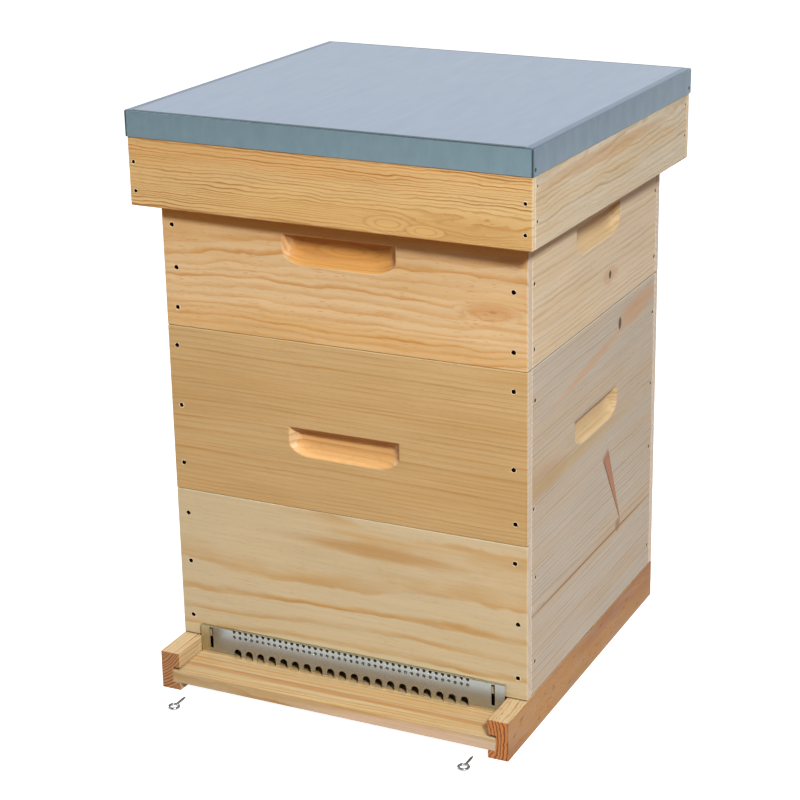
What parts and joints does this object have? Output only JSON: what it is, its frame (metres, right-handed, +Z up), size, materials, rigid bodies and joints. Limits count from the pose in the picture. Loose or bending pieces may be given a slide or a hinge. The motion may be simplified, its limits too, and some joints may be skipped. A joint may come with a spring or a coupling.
{
  "type": "wooden beehive",
  "caption": "Nearly square stacked wooden beehive: grooved floor with perforated entrance guard, brood box, super, hanging frames, inner cover and flat metal-capped telescoping roof.",
  "frame": {"origin": "on the ground, in the middle of the outline of the whole hive with its loose screw eyes", "axes": "+Z up, -Y towards the front of the hive (entrance), +X to the right seen from the front"},
  "size_m": [0.4876, 0.5318, 0.6625],
  "materials": {
    "box_pine": "planed, bare",
    "rail_softwood": "planed, bare",
    "floor_pine": "planed, bare",
    "frame_pine": "planed, bare",
    "cover_pine": "planed, bare",
    "roof_pine": "planed, bare",
    "galvanised_sheet": "smooth galvanised sheet",
    "galvanised_guard": "glossy galvanised sheet",
    "spacer_steel": "galvanised strip",
    "zinc_screw_eye": "bright zinc"
  },
  "bodies": {
    "floor": {"rail_left": "rail_softwood", "rail_right": "rail_softwood", "landing_board": "floor_pine", "floor_plank_middle": "floor_pine", "floor_plank_rear": "floor_pine", "floor_rear_bar": "floor_pine"},
    "entrance_guard": {"entrance_guard": "galvanised_guard"},
    "screw_eye_left": {"screw_eye_left": "zinc_screw_eye"},
    "screw_eye_right": {"screw_eye_right": "zinc_screw_eye"},
    "brood_box": {"brood_front_lower": "box_pine", "brood_front_upper": "box_pine", "brood_back_lower": "box_pine", "brood_back_upper": "box_pine", "brood_side_left": "box_pine", "brood_side_right": "box_pine", "brood_spacer_front": "spacer_steel", "brood_spacer_back": "spacer_steel"},
    "super_box": {"super_front": "box_pine", "super_back": "box_pine", "super_side_left": "box_pine", "super_side_right": "box_pine", "super_spacer_front": "spacer_steel", "super_spacer_back": "spacer_steel"},
    "inner_cover": {"cover_plank_left": "cover_pine", "cover_plank_middle": "cover_pine", "cover_plank_right": "cover_pine", "cover_cleat_front": "cover_pine", "cover_cleat_back": "cover_pine"},
    "roof": {"roof_front": "roof_pine", "roof_back": "roof_pine", "roof_side_left": "roof_pine", "roof_side_right": "roof_pine", "roof_bearer_left": "roof_pine", "roof_bearer_right": "roof_pine", "roof_deck": "roof_pine", "roof_sheet": "galvanised_sheet"},
    "brood_frame_1": {"brood_frame_1": "frame_pine"},
    "brood_frame_2": {"brood_frame_2": "frame_pine"},
    "brood_frame_3": {"brood_frame_3": "frame_pine"},
    "brood_frame_4": {"brood_frame_4": "frame_pine"},
    "brood_frame_5": {"brood_frame_5": "frame_pine"},
    "brood_frame_6": {"brood_frame_6": "frame_pine"},
    "brood_frame_7": {"brood_frame_7": "frame_pine"},
    "brood_frame_8": {"brood_frame_8": "frame_pine"},
    "brood_frame_9": {"brood_frame_9": "frame_pine"},
    "brood_frame_10": {"brood_frame_10": "frame_pine"},
    "super_frame_1": {"super_frame_1": "frame_pine"},
    "super_frame_2": {"super_frame_2": "frame_pine"},
    "super_frame_3": {"super_frame_3": "frame_pine"},
    "super_frame_4": {"super_frame_4": "frame_pine"},
    "super_frame_5": {"super_frame_5": "frame_pine"},
    "super_frame_6": {"super_frame_6": "frame_pine"},
    "super_frame_7": {"super_frame_7": "frame_pine"},
    "super_frame_8": {"super_frame_8": "frame_pine"},
    "super_frame_9": {"super_frame_9": "frame_pine"}
  },
  "joints": [
    {"name": "brood_box_lift", "type": "slide", "parent": "floor", "child": "brood_box", "axis": [0, 0, 1], "range_m": [0, 0.15]},
    {"name": "guard_slide", "type": "slide", "parent": "brood_box", "child": "entrance_guard", "axis": [0, 0, 1], "range_m": [0, 0.02]},
    {"name": "super_lift", "type": "slide", "parent": "brood_box", "child": "super_box", "axis": [0, 0, 1], "range_m": [0, 0.6]},
    {"name": "cover_lift", "type": "slide", "parent": "super_box", "child": "inner_cover", "axis": [0, 0, 1], "range_m": [0, 0.25]},
    {"name": "roof_lift", "type": "slide", "parent": "inner_cover", "child": "roof", "axis": [0, 0, 1], "range_m": [0, 0.15]},
    {"name": "screw_eye_left_lift", "type": "slide", "parent": "floor", "child": "screw_eye_left", "axis": [0, 0, 1], "range_m": [0, 0.05]},
    {"name": "screw_eye_right_lift", "type": "slide", "parent": "floor", "child": "screw_eye_right", "axis": [0, 0, 1], "range_m": [0, 0.05]},
    {"name": "brood_frame_1_lift", "type": "slide", "parent": "brood_box", "child": "brood_frame_1", "axis": [0, 0, 1], "range_m": [0, 0.42]},
    {"name": "brood_frame_2_lift", "type": "slide", "parent": "brood_box", "child": "brood_frame_2", "axis": [0, 0, 1], "range_m": [0, 0.42]},
    {"name": "brood_frame_3_lift", "type": "slide", "parent": "brood_box", "child": "brood_frame_3", "axis": [0, 0, 1], "range_m": [0, 0.42]},
    {"name": "brood_frame_4_lift", "type": "slide", "parent": "brood_box", "child": "brood_frame_4", "axis": [0, 0, 1], "range_m": [0, 0.42]},
    {"name": "brood_frame_5_lift", "type": "slide", "parent": "brood_box", "child": "brood_frame_5", "axis": [0, 0, 1], "range_m": [0, 0.42]},
    {"name": "brood_frame_6_lift", "type": "slide", "parent": "brood_box", "child": "brood_frame_6", "axis": [0, 0, 1], "range_m": [0, 0.42]},
    {"name": "brood_frame_7_lift", "type": "slide", "parent": "brood_box", "child": "brood_frame_7", "axis": [0, 0, 1], "range_m": [0, 0.42]},
    {"name": "brood_frame_8_lift", "type": "slide", "parent": "brood_box", "child": "brood_frame_8", "axis": [0, 0, 1], "range_m": [0, 0.42]},
    {"name": "brood_frame_9_lift", "type": "slide", "parent": "brood_box", "child": "brood_frame_9", "axis": [0, 0, 1], "range_m": [0, 0.42]},
    {"name": "brood_frame_10_lift", "type": "slide", "parent": "brood_box", "child": "brood_frame_10", "axis": [0, 0, 1], "range_m": [0, 0.42]},
    {"name": "super_frame_1_lift", "type": "slide", "parent": "super_box", "child": "super_frame_1", "axis": [0, 0, 1], "range_m": [0, 0.175]},
    {"name": "super_frame_2_lift", "type": "slide", "parent": "super_box", "child": "super_frame_2", "axis": [0, 0, 1], "range_m": [0, 0.175]},
    {"name": "super_frame_3_lift", "type": "slide", "parent": "super_box", "child": "super_frame_3", "axis": [0, 0, 1], "range_m": [0, 0.175]},
    {"name": "super_frame_4_lift", "type": "slide", "parent": "super_box", "child": "super_frame_4", "axis": [0, 0, 1], "range_m": [0, 0.175]},
    {"name": "super_frame_5_lift", "type": "slide", "parent": "super_box", "child": "super_frame_5", "axis": [0, 0, 1], "range_m": [0, 0.175]},
    {"name": "super_frame_6_lift", "type": "slide", "parent": "super_box", "child": "super_frame_6", "axis": [0, 0, 1], "range_m": [0, 0.175]},
    {"name": "super_frame_7_lift", "type": "slide", "parent": "super_box", "child": "super_frame_7", "axis": [0, 0, 1], "range_m": [0, 0.175]},
    {"name": "super_frame_8_lift", "type": "slide", "parent": "super_box", "child": "super_frame_8", "axis": [0, 0, 1], "range_m": [0, 0.175]},
    {"name": "super_frame_9_lift", "type": "slide", "parent": "super_box", "child": "super_frame_9", "axis": [0, 0, 1], "range_m": [0, 0.175]}
  ],
  "couplings": [
    {"joint": "brood_frame_1_lift", "follows": "super_lift", "ratio": 0.7},
    {"joint": "brood_frame_2_lift", "follows": "super_lift", "ratio": 0.7},
    {"joint": "brood_frame_3_lift", "follows": "super_lift", "ratio": 0.7},
    {"joint": "brood_frame_4_lift", "follows": "super_lift", "ratio": 0.7},
    {"joint": "brood_frame_5_lift", "follows": "super_lift", "ratio": 0.7},
    {"joint": "brood_frame_6_lift", "follows": "super_lift", "ratio": 0.7},
    {"joint": "brood_frame_7_lift", "follows": "super_lift", "ratio": 0.7},
    {"joint": "brood_frame_8_lift", "follows": "super_lift", "ratio": 0.7},
    {"joint": "brood_frame_9_lift", "follows": "super_lift", "ratio": 0.7},
    {"joint": "brood_frame_10_lift", "follows": "super_lift", "ratio": 0.7},
    {"joint": "super_frame_1_lift", "follows": "cover_lift", "ratio": 0.7},
    {"joint": "super_frame_2_lift", "follows": "cover_lift", "ratio": 0.7},
    {"joint": "super_frame_3_lift", "follows": "cover_lift", "ratio": 0.7},
    {"joint": "super_frame_4_lift", "follows": "cover_lift", "ratio": 0.7},
    {"joint": "super_frame_5_lift", "follows": "cover_lift", "ratio": 0.7},
    {"joint": "super_frame_6_lift", "follows": "cover_lift", "ratio": 0.7},
    {"joint": "super_frame_7_lift", "follows": "cover_lift", "ratio": 0.7},
    {"joint": "super_frame_8_lift", "follows": "cover_lift", "ratio": 0.7},
    {"joint": "super_frame_9_lift", "follows": "cover_lift", "ratio": 0.7}
  ]
}
